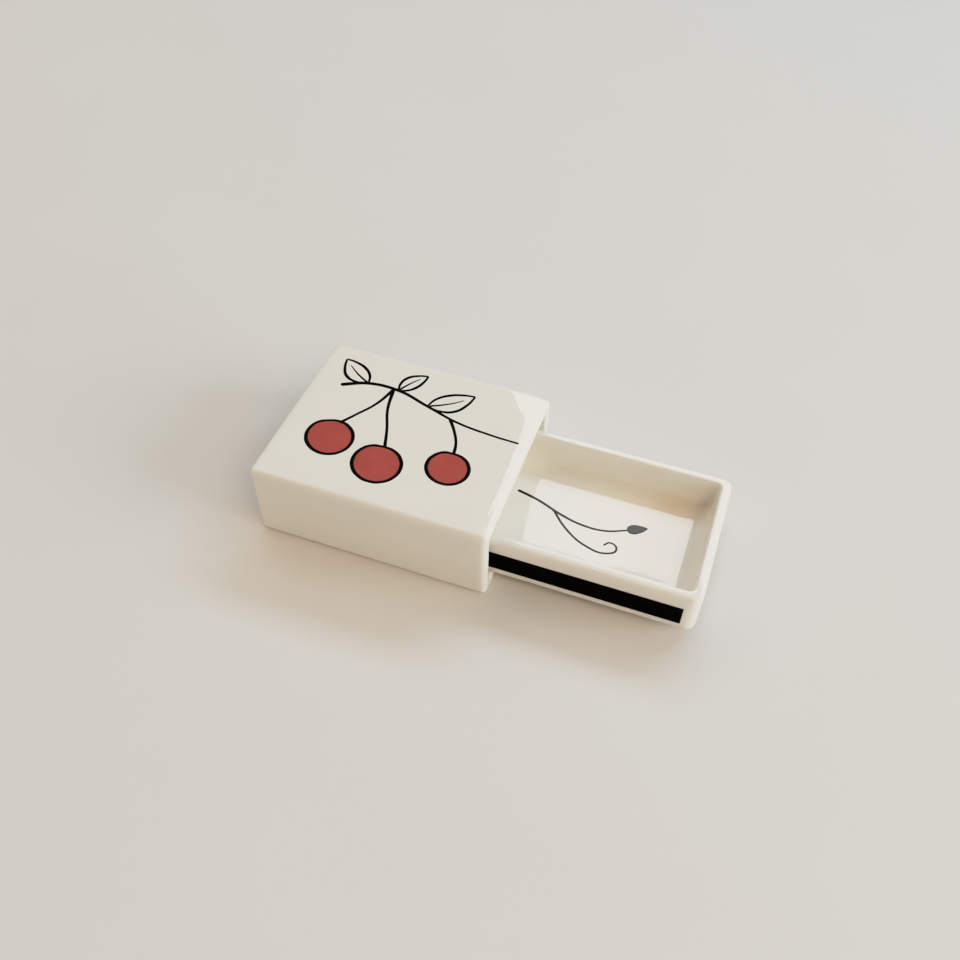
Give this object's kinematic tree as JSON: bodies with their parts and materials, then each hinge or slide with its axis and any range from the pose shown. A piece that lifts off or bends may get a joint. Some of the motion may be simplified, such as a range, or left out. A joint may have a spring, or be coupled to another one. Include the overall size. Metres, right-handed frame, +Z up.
{
  "type": "matchbox holder",
  "caption": "Ceramic matchbox holder: a rectangular sleeve with a sliding open-topped tray and a striking strip on the tray's side.",
  "frame": {"origin": "middle of the sleeve's flat underside, on the surface that the holder stands on", "axes": "+X is the way the tray slides out, +Y is away from the striking strip, +Z is up"},
  "size_m": [0.1332, 0.06, 0.0271],
  "materials": {
    "sleeve_glaze": "gloss",
    "tray_glaze": "gloss",
    "striker": "matte",
    "line_enamel": "gloss",
    "red_enamel": "gloss"
  },
  "bodies": {
    "sleeve": {"sleeve": "sleeve_glaze"},
    "tray": {"tray": "tray_glaze", "striker_strip": "striker"}
  },
  "joints": [
    {"name": "tray_slide", "type": "slide", "parent": "sleeve", "child": "tray", "axis": [1, 0, 0], "range_m": [-0.0598, 0.0146]}
  ]
}
